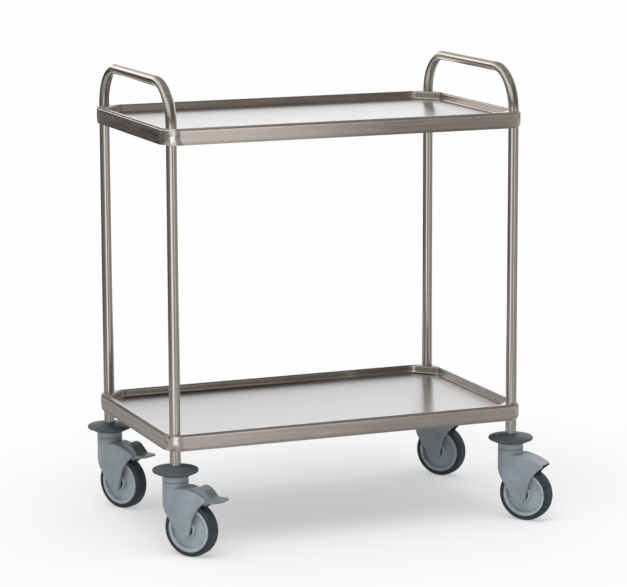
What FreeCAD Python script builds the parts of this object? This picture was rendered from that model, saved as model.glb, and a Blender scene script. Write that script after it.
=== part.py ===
# Serving trolley: two bent tube end frames, two deep-drawn shelves and four swivelling castors.
# Millimetres. X runs along the long side, Y across to the back, Z up from the floor.
# The origin lies on the floor under the plan centre of the four legs.
import FreeCAD, Part
import math
import os

# Driving dimensions of the end frames
leg_spacing_length = 828.0
leg_spacing_width = 477.0
tube_diameter = 25.0
tube_wall_thickness = 1.5
handle_bend_radius = 94.0
leg_length_above_rim = 0.5

# Driving dimensions of the shelves
sheet_thickness = 1.2
lower_rim_foot_height = 73.0
shelf_pitch_height = 683.0
rim_height = 37.0
rim_overhang_width = 22.8
rim_land_width = 12.0
rim_outer_radius = 6.0
rim_inner_radius = 4.0
tray_depth = 20.0
tray_floor_radius = 6.0
tray_corner_radius = 24.0
tray_wall_tube_gap = 6.0
skirt_corner_radius = 36.0
skirt_foot_corner_radius = 44.0
skirt_draw_height = 15.0
skirt_return_width = 9.0
leg_hole_clearance = 0.15
weld_leg_width = 1.8
weld_clearance = 0.05
weld_sweep_angle = 240.0

# Driving dimensions of what lies under the shelf floors
stiffener_width = 60.0
stiffener_crown_width = 30.0
stiffener_depth = 12.0
stiffener_slope_share = 0.25
stiffener_end_gap = 60.0
pad_thickness = 3.0
pad_side_gap = 30.0

# Driving dimensions of the wheels
wheel_diameter = 125.0
wheel_width = 33.5
tyre_thickness = 10.5
tyre_shoulder_radius = 8.0
tyre_side_step_width = 1.2
rim_face_width = 8.0
web_recess_depth = 9.0
hub_diameter = 32.0
hub_side_gap = 0.3
axle_diameter = 10.0
wheel_bearing_diameter = 26.0
wheel_bearing_width = 8.0

# Driving dimensions of the castor forks
castor_trail_length = 41.0
head_diameter = 59.0
fork_height_above_wheel = 42.0
fork_foot_width = 50.0
fork_tail_width = 46.0
wheel_side_clearance = 2.25
wheel_top_clearance = 4.0
fender_thickness = 3.0
fork_edge_radius = 3.5
axle_boss_diameter = 20.0
axle_head_diameter = 15.0
axle_head_height = 4.0
axle_head_clearance = 0.1
axle_head_sunk_depth = 0.9
axle_cover_thickness = 2.5

# Driving dimensions of the swivel and the stem in the leg
swivel_gap = 0.6
swivel_chamfer_width = 0.9
cap_height = 12.4
stem_diameter = 12.0
swivel_bearing_diameter = 32.0
swivel_bearing_width = 10.0
swivel_bearing_spacing = 18.0
swivel_bearing_depth = 2.0
stem_nut_width = 19.0
stem_nut_height = 6.0
stem_thread_length = 2.0
stem_flange_diameter = 20.0
expander_length = 45.0
expander_cone_height = 8.0
running_clearance = 0.05
seat_clearance = 0.03
expander_clearance = 0.1

# Driving dimensions of the bumper discs
disc_diameter = 104.0
disc_height = 21.5
disc_rim_height = 8.5
disc_crown_height = 5.5
disc_flat_width = 1.5

# Driving dimensions of the brakes
pedal_side_clearance = 0.6
pedal_lip_width = 44.0
pedal_lip_length = 26.5
pedal_lip_thickness = 3.5
pedal_lip_corner_radius = 14.0
pedal_rib_depth = 1.2
pedal_rib_width = 2.4
pedal_rib_count = 4
pedal_pin_diameter = 5.0
pedal_slot_clearance = 3.0
pedal_travel_angle = 12.0
shoe_clearance = 0.3
shoe_thickness = 6.0
shoe_width = 24.0
shoe_low_angle = 54.0
shoe_high_angle = 69.0

# Angle of each castor's trail from +X, as the photographed trolley stands
castor_angles = {
    "front_left": -51.0,
    "back_left": -59.5,
    "front_right": -50.0,
    "back_right": -52.0,
}
braked_castors = ("front_left", "back_left")

# Heights that follow from the sizes above
wheel_radius = wheel_diameter / 2
axle_height = wheel_radius
head_radius = head_diameter / 2
fork_top = wheel_diameter + fork_height_above_wheel
cap_bottom = fork_top + swivel_gap
disc_bottom = cap_bottom + cap_height
tube_foot = disc_bottom + disc_height
lower_rim_top = tube_foot + lower_rim_foot_height
top_rim_top = lower_rim_top + shelf_pitch_height
handle_height = top_rim_top + leg_length_above_rim + handle_bend_radius
tube_radius = tube_diameter / 2
bore_radius = tube_radius - tube_wall_thickness
leg_x = leg_spacing_length / 2
leg_y = leg_spacing_width / 2
half_long = leg_x + rim_overhang_width
half_short = leg_y + rim_overhang_width
pocket_half = wheel_width / 2 + wheel_side_clearance

# How far the disc's two curved faces stand off straight lines
disc_flare_share = 0.4
disc_swell_share = 0.65

# One overrun serves all cuts
overrun_length = 2.0

UP = FreeCAD.Vector(0, 0, 1)
ACROSS = FreeCAD.Vector(0, 1, 0)


def vec(x, y, z):
    return FreeCAD.Vector(x, y, z)


def face_of(edges):
    return Part.Face(Part.Wire(edges))


def cylinder(radius, low, high, x=0, y=0):
    return Part.makeCylinder(radius, high - low, vec(x, y, low), UP)


def crosswise(radius, low, high, place):
    # a cylinder across the castor at one place of its side outline
    return Part.makeCylinder(radius, high - low, vec(place[0], low, place[1]), ACROSS)


def revolved(points, sweep=360):
    # points are (radius, height) pairs of a closed outline beside the Z axis
    corners = [vec(r, 0, z) for r, z in points]
    face = Part.Face(Part.makePolygon(corners + corners[:1]))
    return face.revolve(vec(0, 0, 0), UP, sweep)


def side_point(point):
    # a side outline lies in the XZ plane
    return vec(point[0], 0, point[1])


def side_edges(start, steps):
    # each step is (end,) for a line or (middle, end) for an arc; the outline closes itself
    edges = []
    here = side_point(start)
    for step in steps:
        end = side_point(step[-1])
        if len(step) == 1:
            edges.append(Part.LineSegment(here, end).toShape())
        else:
            edges.append(Part.Arc(here, side_point(step[0]), end).toShape())
        here = end
    edges.append(Part.LineSegment(here, side_point(start)).toShape())
    return edges


def side_prism(start, steps, half_width):
    face = face_of(side_edges(start, steps))
    face.translate(vec(0, -half_width, 0))
    return face.extrude(ACROSS * (2 * half_width))


def rounded_outline(corners, radius, z):
    # a closed plan outline with every corner rounded to the same radius
    count = len(corners)
    edges = []
    starts = []
    ends = []
    middles = []
    for i in range(count):
        here = vec(corners[i][0], corners[i][1], z)
        before = vec(corners[i - 1][0], corners[i - 1][1], z)
        after = vec(corners[(i + 1) % count][0], corners[(i + 1) % count][1], z)
        into = (before - here).normalize()
        out = (after - here).normalize()
        half_angle = into.getAngle(out) / 2
        reach = radius / math.tan(half_angle)
        inward = (into + out).normalize()
        centre = here + inward * (radius / math.sin(half_angle))
        starts.append(here + into * reach)
        ends.append(here + out * reach)
        middles.append(centre - inward * radius)
    for i in range(count):
        edges.append(Part.Arc(starts[i], middles[i], ends[i]).toShape())
        edges.append(Part.LineSegment(ends[i], starts[(i + 1) % count]).toShape())
    return Part.Wire(edges)


def rectangle(half_x, half_y, radius, z):
    corners = [(half_x, half_y), (-half_x, half_y), (-half_x, -half_y), (half_x, -half_y)]
    return rounded_outline(corners, radius, z)


def prism(wire, height):
    return Part.Face(wire).extrude(UP * height)


def edges_at(shape, z, inside=None):
    # the edges that lie flat at one height, all of them or only those inside a plan rectangle
    near = sheet_thickness / 100
    found = []
    for edge in shape.Edges:
        box = edge.BoundBox
        if abs(box.ZMin - z) > near or abs(box.ZMax - z) > near:
            continue
        reach_x = max(abs(box.XMin), abs(box.XMax))
        reach_y = max(abs(box.YMin), abs(box.YMax))
        if inside and (reach_x > inside[0] or reach_y > inside[1]):
            continue
        found.append(edge)
    return found


def at_each_leg():
    return [(x, y) for x in (-leg_x, leg_x) for y in (-leg_y, leg_y)]


# End frames: one tube bent into two legs and the handle over the short side
def frame_path(x):
    bend = handle_bend_radius
    quarter = bend * math.sqrt(0.5)
    shoulder = handle_height - bend
    front = vec(x, -leg_y, tube_foot)
    front_shoulder = vec(x, -leg_y, shoulder)
    front_middle = vec(x, -leg_y + bend - quarter, shoulder + quarter)
    front_top = vec(x, -leg_y + bend, handle_height)
    back_top = vec(x, leg_y - bend, handle_height)
    back_middle = vec(x, leg_y - bend + quarter, shoulder + quarter)
    back_shoulder = vec(x, leg_y, shoulder)
    back = vec(x, leg_y, tube_foot)
    return Part.Wire([
        Part.LineSegment(front, front_shoulder).toShape(),
        Part.Arc(front_shoulder, front_middle, front_top).toShape(),
        Part.LineSegment(front_top, back_top).toShape(),
        Part.Arc(back_top, back_middle, back_shoulder).toShape(),
        Part.LineSegment(back_shoulder, back).toShape(),
    ])


def end_frame(x):
    path = frame_path(x)
    skins = []
    for radius in (tube_radius, bore_radius):
        ring = Part.Wire(Part.makeCircle(radius, vec(x, -leg_y, tube_foot), UP))
        skins.append(path.makePipeShell([ring], True, False))
    return skins[0].cut(skins[1])


# Shelves: one sheet drawn into a tray, a rounded rim, a skirt and a folded return
def skirt_block(rim_top, inset):
    # the space inside the skirt's outer skin, drawn in by the inset on every side
    half_x = half_long - inset
    half_y = half_short - inset
    top = rim_top - inset
    foot = rim_top - rim_height + inset
    draw = rim_top - rim_height + skirt_draw_height
    radius = skirt_corner_radius - inset
    foot_radius = skirt_foot_corner_radius - inset
    upper = prism(rectangle(half_x, half_y, radius, draw), top - draw)
    upper = upper.makeFillet(rim_outer_radius - inset, edges_at(upper, top))
    # the corners grow rounder towards the foot, level by level
    sections = []
    for share in (0, 0.5, 1):
        corner = radius + (foot_radius - radius) * (1 - share) ** 2
        sections.append(rectangle(half_x, half_y, corner, foot + (draw - foot) * share))
    lower = Part.makeLoft(sections, True, False)
    return upper.fuse(lower)


def tray_outline(grow, z):
    # straight along the rims, cut across each corner to leave a land round the tube
    x = half_long - rim_land_width + grow
    y = half_short - rim_land_width + grow
    reach = leg_x + leg_y - (tube_radius + tray_wall_tube_gap - grow) * math.sqrt(2)
    corners = []
    for sx, sy in ((1, 1), (-1, 1), (-1, -1), (1, -1)):
        on_end = (sx * x, sy * (reach - x))
        on_side = (sx * (reach - y), sy * y)
        corners += [on_end, on_side] if sx * sy > 0 else [on_side, on_end]
    return rounded_outline(corners, tray_corner_radius + grow, z)


def tray_block(rim_top, grow):
    # the tray's hollow, or the same grown by the sheet
    floor = rim_top - tray_depth - grow
    block = prism(tray_outline(grow, floor), tray_depth + grow + overrun_length)
    return block.makeFillet(tray_floor_radius + grow, edges_at(block, floor))


def shelf(rim_top):
    outside = skirt_block(rim_top, 0)
    outside = outside.cut(tray_block(rim_top, 0))
    margin = 2 * sheet_thickness - rim_land_width
    within = (half_long + margin, half_short + margin)
    outside = outside.makeFillet(rim_inner_radius, edges_at(outside, rim_top, within))
    hollow = skirt_block(rim_top, sheet_thickness).cut(tray_block(rim_top, sheet_thickness))
    bend = edges_at(hollow, rim_top - sheet_thickness, within)
    hollow = hollow.makeFillet(rim_inner_radius - sheet_thickness, bend)
    foot = rim_top - rim_height
    mouth_x = half_long - skirt_return_width
    mouth_y = half_short - skirt_return_width
    mouth_radius = skirt_foot_corner_radius - skirt_return_width
    mouth = rectangle(mouth_x, mouth_y, mouth_radius, foot - overrun_length)
    body = outside.cut(hollow).cut(prism(mouth, overrun_length + 2 * sheet_thickness))
    hole = tube_radius + leg_hole_clearance
    for x, y in at_each_leg():
        body = body.cut(cylinder(hole, foot - overrun_length, rim_top + overrun_length, x, y))
    return body


def shelf_welds(rim_top):
    # a fillet weld under the land, round the side of each tube that a torch can reach
    inner = tube_radius + weld_clearance
    top = rim_top - sheet_thickness
    beads = []
    for x, y in at_each_leg():
        outline = [(inner, top), (inner + weld_leg_width, top), (inner, top - weld_leg_width)]
        bead = revolved(outline, weld_sweep_angle)
        inward = math.degrees(math.atan2(math.copysign(1, -y), math.copysign(1, -x)))
        bead.rotate(vec(0, 0, 0), UP, inward - weld_sweep_angle / 2)
        bead.translate(vec(x, y, 0))
        beads.append(bead)
    return Part.makeCompound(beads)


def floor_underside(rim_top):
    return rim_top - tray_depth - sheet_thickness


def shelf_stiffener(rim_top):
    # a folded hat rail along the middle of the shelf, its flanges against the floor
    top = floor_underside(rim_top)
    low = top - stiffener_depth
    half = stiffener_width / 2
    crown = stiffener_crown_width / 2
    root = crown + stiffener_depth * stiffener_slope_share
    gauge = sheet_thickness
    outline = [
        (half, top), (half, top - gauge), (root + gauge, top - gauge), (crown + gauge, low),
        (-crown - gauge, low), (-root - gauge, top - gauge), (-half, top - gauge), (-half, top),
        (-root, top), (-crown, low + gauge), (crown, low + gauge), (root, top),
    ]
    length = 2 * (half_long - rim_land_width - stiffener_end_gap)
    corners = [vec(-length / 2, y, z) for y, z in outline]
    face = Part.Face(Part.makePolygon(corners + corners[:1]))
    return face.extrude(vec(length, 0, 0))


def shelf_pads(rim_top):
    # a sound-deadening pad on each side of the stiffener
    top = floor_underside(rim_top)
    inner = stiffener_width / 2 + pad_side_gap
    outer = half_short - rim_land_width - 2 * tray_floor_radius - pad_side_gap
    length = 2 * (half_long - rim_land_width - stiffener_end_gap)
    pads = []
    for side in (-1, 1):
        y = inner if side > 0 else -outer
        corner = vec(-length / 2, y, top - pad_thickness)
        pads.append(Part.makeBox(length, outer - inner, pad_thickness, corner))
    return Part.makeCompound(pads)


# Wheels, in the castor's own frame: trail along X, axle along Y, swivel axis on Z
def wheel_ring(points):
    # points are (radius, side) pairs of a closed outline, side measured from the middle of the wheel
    corners = [vec(r, side, 0) for r, side in points]
    face = Part.Face(Part.makePolygon(corners + corners[:1]))
    ring = face.revolve(vec(0, 0, 0), ACROSS, 360)
    ring.translate(vec(castor_trail_length, 0, axle_height))
    return ring


def wheel_tyre():
    # a flat tread between two rounded shoulders, on a rim narrower than the tread
    half = wheel_width / 2
    step = half - tyre_side_step_width
    inner = wheel_radius - tyre_thickness
    shoulder = wheel_radius - tyre_shoulder_radius
    edge = half - tyre_shoulder_radius
    turn = tyre_shoulder_radius * math.sqrt(0.5)
    low_seat, high_seat = vec(inner, -step, 0), vec(inner, step, 0)
    high_side, low_side = vec(shoulder, half, 0), vec(shoulder, -half, 0)
    high_tread, low_tread = vec(wheel_radius, edge, 0), vec(wheel_radius, -edge, 0)
    edges = [
        Part.LineSegment(low_seat, high_seat).toShape(),
        Part.LineSegment(high_seat, high_side).toShape(),
        Part.Arc(high_side, vec(shoulder + turn, edge + turn, 0), high_tread).toShape(),
        Part.LineSegment(high_tread, low_tread).toShape(),
        Part.Arc(low_tread, vec(shoulder + turn, -edge - turn, 0), low_side).toShape(),
        Part.LineSegment(low_side, low_seat).toShape(),
    ]
    ring = face_of(edges).revolve(vec(0, 0, 0), ACROSS, 360)
    ring.translate(vec(castor_trail_length, 0, axle_height))
    return ring


def hub_half():
    # the hub reaches to just short of the bosses inside the fork
    return pocket_half - boss_height() - hub_side_gap


def boss_height():
    return wheel_side_clearance * boss_share


def wheel_centre():
    # rim ring, recessed web and hub, with a seat for a bearing at each end of the hub
    outer = wheel_radius - tyre_thickness - seat_clearance
    face = wheel_width / 2 - tyre_side_step_width
    ring_inner = outer - rim_face_width
    web = face - web_recess_depth
    hub = hub_diameter / 2
    half = hub_half()
    seat = wheel_bearing_diameter / 2 + seat_clearance
    seat_floor = half - wheel_bearing_width
    bore = axle_diameter / 2 + wheel_side_clearance
    lip = tyre_side_step_width
    side = [
        (outer, face - lip), (outer - lip, face), (ring_inner + lip, face), (ring_inner, face - lip),
        (ring_inner - lip, web), (hub + lip, web), (hub, half - lip), (hub - lip, half), (seat, half),
        (seat, seat_floor), (bore, seat_floor),
    ]
    mirrored = [(r, -y) for r, y in reversed(side)]
    return wheel_ring(side + mirrored)


def wheel_bearings():
    # one bearing at each end of the hub, running on the axle
    outer = wheel_bearing_diameter / 2
    inner = axle_diameter / 2 + running_clearance
    high = hub_half()
    low = high - wheel_bearing_width
    rings = []
    for a, b in ((low, high), (-high, -low)):
        rings.append(wheel_ring([(inner, a), (outer, a), (outer, b), (inner, b)]))
    return Part.makeCompound(rings)


# Forks: the outline's places are shares of the wheel's radius, measured from the axle
leg_back_shares = (-0.32, -0.24)
leg_tip_shares = (-0.11, -0.33)
leg_front_low_shares = (0.10, -0.20)
leg_front_shares = (0.185, 0.22)
arch_middle_shares = (0.405, 0.75)
arch_tip_shares = (0.80, 1.12)
tail_top_shares = (0.75, 1.225)
ridge_middle_shares = (0.42, 1.375)
ridge_start_shares = (-0.2, 1.52)
back_knee_share = 0.98
shoulder_drop_share = 0.13
head_taper_share = 0.55
boss_share = 0.67


def from_axle(shares):
    return (castor_trail_length + shares[0] * wheel_radius, axle_height + shares[1] * wheel_radius)


def fork_cheeks():
    # the side outline, narrowed in plan towards the tail and in front view towards the feet
    knee = axle_height + back_knee_share * wheel_radius
    ridge = from_axle(ridge_start_shares)
    shoulder = ridge[1] - shoulder_drop_share * wheel_radius
    start = (-head_radius, shoulder)
    steps = [
        ((-head_radius, knee),),
        (from_axle(leg_back_shares),),
        (from_axle(leg_tip_shares), from_axle(leg_front_low_shares)),
        (from_axle(leg_front_shares),),
        (from_axle(arch_middle_shares), from_axle(arch_tip_shares)),
        (from_axle(tail_top_shares),),
        (from_axle(ridge_middle_shares), ridge),
    ]
    side = side_prism(start, steps, head_radius)
    tail_end = from_axle(arch_tip_shares)[0] + overrun_length
    tail = fork_tail_width / 2
    far, far_tail = vec(0, head_radius, 0), vec(tail_end, tail, 0)
    near_tail, near = vec(tail_end, -tail, 0), vec(0, -head_radius, 0)
    plan_edges = [
        Part.LineSegment(far, far_tail).toShape(),
        Part.LineSegment(far_tail, near_tail).toShape(),
        Part.LineSegment(near_tail, near).toShape(),
    ]
    plan_edges.append(Part.Arc(near, vec(-head_radius, 0, 0), far).toShape())
    plan = face_of(plan_edges).extrude(UP * fork_top)
    foot = fork_foot_width / 2
    foot_level = from_axle(leg_tip_shares)[1] - overrun_length
    front = [
        (-foot, foot_level), (foot, foot_level), (head_radius, knee), (head_radius, fork_top),
        (-head_radius, fork_top), (-head_radius, knee),
    ]
    corners = [vec(-head_radius - overrun_length, y, z) for y, z in front]
    front_face = Part.Face(Part.makePolygon(corners + corners[:1]))
    front_prism = front_face.extrude(vec(tail_end + head_radius + 2 * overrun_length, 0, 0))
    cheeks = side.common(plan).common(front_prism)
    return cheeks.makeFillet(fork_edge_radius, side_outline(cheeks))


def side_outline(body):
    # the edges where a face that goes across the fork meets a side
    wide = head_radius + overrun_length
    across = [face for face in body.Faces if face.BoundBox.YLength > wide]
    return [edge for face in across for edge in face.Edges if edge.BoundBox.YLength < wide]


def fork_head():
    # a round head that tapers into the cheeks below it
    knee = axle_height + back_knee_share * wheel_radius
    taper_foot = knee - head_taper_share * wheel_radius
    return revolved([
        (0, taper_foot), (pocket_half, taper_foot), (head_radius, knee),
        (head_radius, fork_top - swivel_chamfer_width),
        (head_radius - swivel_chamfer_width, fork_top), (0, fork_top),
    ])


def wheel_pocket(braked):
    # the wheel's own space, the open way down, and the hollow under the tail
    radius = wheel_radius + wheel_top_clearance
    low = -overrun_length
    round_pocket = crosswise(radius, -pocket_half, pocket_half, (castor_trail_length, axle_height))
    reach = castor_trail_length + radius
    corner = vec(castor_trail_length - radius, -pocket_half, low)
    way_down = Part.makeBox(2 * radius, 2 * pocket_half, axle_height - low, corner)
    ridge = from_axle(ridge_start_shares)
    middle = from_axle(ridge_middle_shares)
    tail = from_axle(tail_top_shares)
    start = (ridge[0] + overrun_length, axle_height)
    steps = [
        ((ridge[0] + overrun_length, ridge[1] - fender_thickness),),
        ((middle[0], middle[1] - fender_thickness), (tail[0], tail[1] - fender_thickness)),
        ((reach + 2 * overrun_length, tail[1] - 2 * fender_thickness),),
        ((reach + 2 * overrun_length, axle_height),),
    ]
    hollow = side_prism(start, steps, pocket_half)
    pocket = round_pocket.fuse(way_down).fuse(hollow)
    if braked:
        # the pedal comes up between the cheeks
        back = from_axle(hump_start_shares)[0] - pedal_slot_clearance
        corner = vec(back, -pocket_half, wheel_diameter)
        length = reach + overrun_length - back
        slot = Part.makeBox(length, 2 * pocket_half, fork_height_above_wheel, corner)
        pocket = pocket.fuse(slot)
    return pocket


def fork(braked):
    body = fork_cheeks().fuse(fork_head())
    body = body.cut(wheel_pocket(braked))
    # bosses that face the hub
    axle_place = (castor_trail_length, axle_height)
    boss = axle_boss_diameter / 2
    height = boss_height()
    for low in (-pocket_half, pocket_half - height):
        body = body.fuse(crosswise(boss, low, low + height, axle_place))
    # the axle enters from the far side and ends blind in the near cheek
    foot_half = fork_half(axle_place)
    bore = axle_diameter / 2 + seat_clearance
    body = body.cut(crosswise(bore, axle_cover_thickness - foot_half, head_radius, axle_place))
    head = axle_head_diameter / 2 + axle_head_clearance
    body = body.cut(crosswise(head, foot_half - axle_head_height, head_radius, axle_place))
    # seats of the two swivel bearings and the stem's way through
    seat = swivel_bearing_diameter / 2 + seat_clearance
    lower, upper = swivel_bearing_levels()
    lower_top = lower + swivel_bearing_width
    body = body.cut(cylinder(seat, upper, fork_top + overrun_length))
    body = body.cut(cylinder(seat, axle_height + wheel_radius / 2, lower_top))
    way = stem_flange_diameter / 2
    body = body.cut(cylinder(way, lower_top - overrun_length, upper + overrun_length))
    if braked:
        # the pedal's pin enters from the far side too
        pivot = pedal_pivot()
        hole = pedal_pin_diameter / 2 + seat_clearance
        body = body.cut(crosswise(hole, axle_cover_thickness - fork_half(pivot), head_radius, pivot))
    return body


def fork_half(place):
    # half the width over the cheeks at one place of the side outline
    s, z = place
    foot_level = from_axle(leg_tip_shares)[1]
    knee = axle_height + back_knee_share * wheel_radius
    share = min((z - foot_level) / (knee - foot_level), 1)
    front = fork_foot_width / 2 + (head_radius - fork_foot_width / 2) * share
    tail_end = from_axle(arch_tip_shares)[0] + overrun_length
    plan = head_radius + (fork_tail_width / 2 - head_radius) * s / tail_end
    return min(front, plan)


def axle():
    # a plain shaft with a round head sunk in the far cheek
    place = (castor_trail_length, axle_height)
    low = axle_cover_thickness + seat_clearance - fork_half(place)
    head_low = fork_half(place) - axle_head_height + seat_clearance
    head_high = head_low + axle_head_height - axle_head_sunk_depth
    shaft = crosswise(axle_diameter / 2, low, head_low, place)
    head = crosswise(axle_head_diameter / 2, head_low, head_high, place)
    socket = crosswise(axle_diameter / 2, (head_low + head_high) / 2, head_high + overrun_length, place)
    return shaft.fuse(head).cut(socket)


# Swivel: two bearings in the fork's head turn on a stem that is held in the leg
def swivel_bearing_levels():
    upper = fork_top - swivel_bearing_depth - swivel_bearing_width
    return (upper - swivel_bearing_spacing, upper)


def swivel_bearings():
    inner = stem_diameter / 2 + running_clearance
    outer = swivel_bearing_diameter / 2
    rings = []
    for low in swivel_bearing_levels():
        high = low + swivel_bearing_width
        rings.append(revolved([(inner, low), (outer, low), (outer, high), (inner, high)]))
    return Part.makeCompound(rings)


def hexagon(width, low, high):
    reach = width / math.sqrt(3)
    turns = [math.radians(60 * i) for i in range(6)]
    corners = [vec(reach * math.cos(turn), reach * math.sin(turn), low) for turn in turns]
    return Part.Face(Part.makePolygon(corners + corners[:1])).extrude(UP * (high - low))


def stem():
    # shaft, flange under the cap, nut under the lower bearing and cone in the expander
    lower, upper = swivel_bearing_levels()
    nut_top = lower - swivel_gap / 2
    nut_low = nut_top - stem_nut_height
    shaft_low = nut_low - stem_thread_length
    cone_low = tube_foot + expander_length
    shaft = cylinder(stem_diameter / 2, shaft_low, cone_low)
    nut = hexagon(stem_nut_width, nut_low, nut_top)
    flange_low = upper + swivel_bearing_width + swivel_gap / 2
    flange = cylinder(stem_flange_diameter / 2, flange_low, cap_bottom + sheet_thickness)
    cone_wide = bore_radius - expander_clearance - tube_wall_thickness
    cone = revolved([
        (0, cone_low), (stem_diameter / 2, cone_low), (cone_wide, cone_low + expander_cone_height),
        (0, cone_low + expander_cone_height),
    ])
    return shaft.fuse(nut).fuse(flange).fuse(cone)


def expander():
    # a split rubber sleeve that the cone spreads against the bore
    outer = bore_radius - expander_clearance
    inner = stem_diameter / 2 + running_clearance
    low = tube_foot + seat_clearance
    high = tube_foot + expander_length - seat_clearance
    return revolved([(inner, low), (outer, low), (outer, high), (inner, high)])


def swivel_cap():
    # the fixed cap over the upper bearing; a groove parts it from the fork
    inner = stem_diameter / 2 + seat_clearance
    flange = stem_flange_diameter / 2 + seat_clearance
    top = disc_bottom
    seat = cap_bottom + sheet_thickness + seat_clearance
    return revolved([
        (flange, cap_bottom), (head_radius - swivel_chamfer_width, cap_bottom),
        (head_radius, cap_bottom + swivel_chamfer_width), (head_radius, top),
        (inner, top), (inner, seat), (flange, seat),
    ])


def bumper_disc():
    # a soft disc that keeps the trolley off walls; its underside flares out from the cap
    inner = stem_diameter / 2 + seat_clearance
    flat = tube_radius + disc_flat_width
    turn = disc_rim_height / 2
    outer = disc_diameter / 2
    rim = outer - turn
    top = disc_bottom + disc_height
    middle = top - disc_crown_height - turn
    flare = disc_bottom + (middle - turn - disc_bottom) * disc_flare_share
    swell = top - disc_crown_height * (1 - disc_swell_share)
    start = (inner, disc_bottom)
    steps = [
        ((head_radius, disc_bottom),),
        (((head_radius + rim) / 2, flare), (rim, middle - turn)),
        ((outer, middle), (rim, middle + turn)),
        (((rim + flat) / 2, swell), (flat, top)),
        ((inner, top),),
    ]
    return face_of(side_edges(start, steps)).revolve(vec(0, 0, 0), UP, 360)


# Brakes: a pedal on a pin between the cheeks carries a shoe above the tread
pedal_pivot_shares = (0.30, 1.27)
pedal_back_low_shares = (0.22, 1.16)
hump_start_shares = (0.20, 1.38)
hump_back_shares = (0.24, 1.512)
hump_top_shares = (0.464, 1.597)
hump_fall_shares = (0.688, 1.517)
face_middle_shares = (0.816, 1.403)
face_end_shares = (0.92, 1.253)
lip_bend_shares = (0.958, 1.221)
lip_root_shares = (1.016, 1.208)
lip_low_shares = (0.891, 1.05)


def pedal_pivot():
    return from_axle(pedal_pivot_shares)


def pedal_half():
    return pocket_half - pedal_side_clearance


def round_axle(radius, angle):
    turn = math.radians(angle)
    return (castor_trail_length + radius * math.cos(turn), axle_height + radius * math.sin(turn))


def released(point):
    # where a point of the pressed pedal lies when the pedal is up
    pivot = pedal_pivot()
    turn = math.radians(pedal_travel_angle)
    s = point[0] - pivot[0]
    z = point[1] - pivot[1]
    forward = s * math.cos(turn) - z * math.sin(turn)
    up = s * math.sin(turn) + z * math.cos(turn)
    return (pivot[0] + forward, pivot[1] + up)


def shoe_arc(radius):
    # three points round the tread, low to high, placed for the released pedal
    middle = (shoe_low_angle + shoe_high_angle) / 2
    return [released(round_axle(radius, angle)) for angle in (shoe_low_angle, middle, shoe_high_angle)]


def brake_shoe():
    # a curved block that meets the tread all along when the pedal is pressed
    near = shoe_arc(wheel_radius + shoe_clearance)
    far = shoe_arc(wheel_radius + shoe_clearance + shoe_thickness)
    steps = [(near[1], near[2]), (far[2],), (far[1], far[0])]
    return side_prism(near[0], steps, shoe_width / 2)


def face_point(share):
    # a place and the outward direction on the face that the foot pushes
    places = [from_axle(shares) for shares in (hump_fall_shares, face_middle_shares, face_end_shares)]
    edge = Part.Arc(*[side_point(place) for place in places]).toShape()
    place = edge.valueAt(edge.FirstParameter + (edge.LastParameter - edge.FirstParameter) * share)
    out = place - edge.Curve.Center
    return place, out.normalize()


def pedal_ribs():
    # raised ribs across the face, each narrower at its crest
    half = pedal_half() - pedal_rib_width
    ribs = []
    for i in range(pedal_rib_count):
        place, out = face_point((i + 0.5) / pedal_rib_count)
        along = out.cross(ACROSS)
        root = place - out * pedal_rib_depth
        crest = place + out * pedal_rib_depth
        width = along * (pedal_rib_width / 2)
        corners = [root - width, root + width, crest + width / 2, crest - width / 2]
        corners = [(corner.x, corner.z) for corner in corners]
        ribs.append(side_prism(corners[0], [(corner,) for corner in corners[1:]], half))
    return ribs


def pedal_plan():
    # as wide as the gap between the cheeks, then wider at the lip
    back = from_axle(hump_start_shares)[0] - 2 * pedal_lip_corner_radius
    flare = from_axle(arch_tip_shares)[0] + overrun_length
    wide = from_axle(lip_root_shares)[0]
    reach = wide + pedal_lip_length
    near = pedal_half()
    half = pedal_lip_width / 2
    side = [(back, near), (flare, near), (wide, half), (reach, half)]
    mirrored = [(s, -y) for s, y in reversed(side)]
    return prism(rounded_outline(side + mirrored, pedal_lip_corner_radius, 0), 2 * wheel_diameter)


def brake_pedal():
    # a hump between the cheeks, a web down to the shoe, and a lip for the foot
    root = from_axle(lip_root_shares)
    tip = root[0] + pedal_lip_length
    turn = pedal_lip_thickness / 2
    seat = shoe_arc(wheel_radius + shoe_clearance + shoe_thickness)
    steps = [
        (from_axle(hump_back_shares),),
        (from_axle(hump_top_shares), from_axle(hump_fall_shares)),
        (from_axle(face_middle_shares), from_axle(face_end_shares)),
        (from_axle(lip_bend_shares), root),
        ((tip - turn, root[1]),),
        ((tip, root[1] - turn), (tip - turn, root[1] - pedal_lip_thickness)),
        (from_axle(lip_low_shares),),
        (seat[0],),
        (seat[1], seat[2]),
        (from_axle(pedal_back_low_shares),),
    ]
    body = side_prism(from_axle(hump_start_shares), steps, pedal_lip_width / 2)
    body = body.common(pedal_plan())
    for rib in pedal_ribs():
        body = body.fuse(rib)
    pivot = pedal_pivot()
    bore = pedal_pin_diameter / 2 + running_clearance
    return body.cut(crosswise(bore, -pedal_lip_width / 2, pedal_lip_width / 2, pivot))


def pedal_pin():
    pivot = pedal_pivot()
    half = fork_half(pivot)
    low = axle_cover_thickness + seat_clearance - half
    return crosswise(pedal_pin_diameter / 2, low, half - seat_clearance, pivot)


# Placing what is built in the castor's own frame
def at_castor(shape, name):
    x = leg_x if name.endswith("right") else -leg_x
    y = leg_y if name.startswith("back") else -leg_y
    placed = shape.copy()
    placed.rotate(vec(0, 0, 0), UP, castor_angles[name])
    placed.translate(vec(x, y, 0))
    return placed


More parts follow.
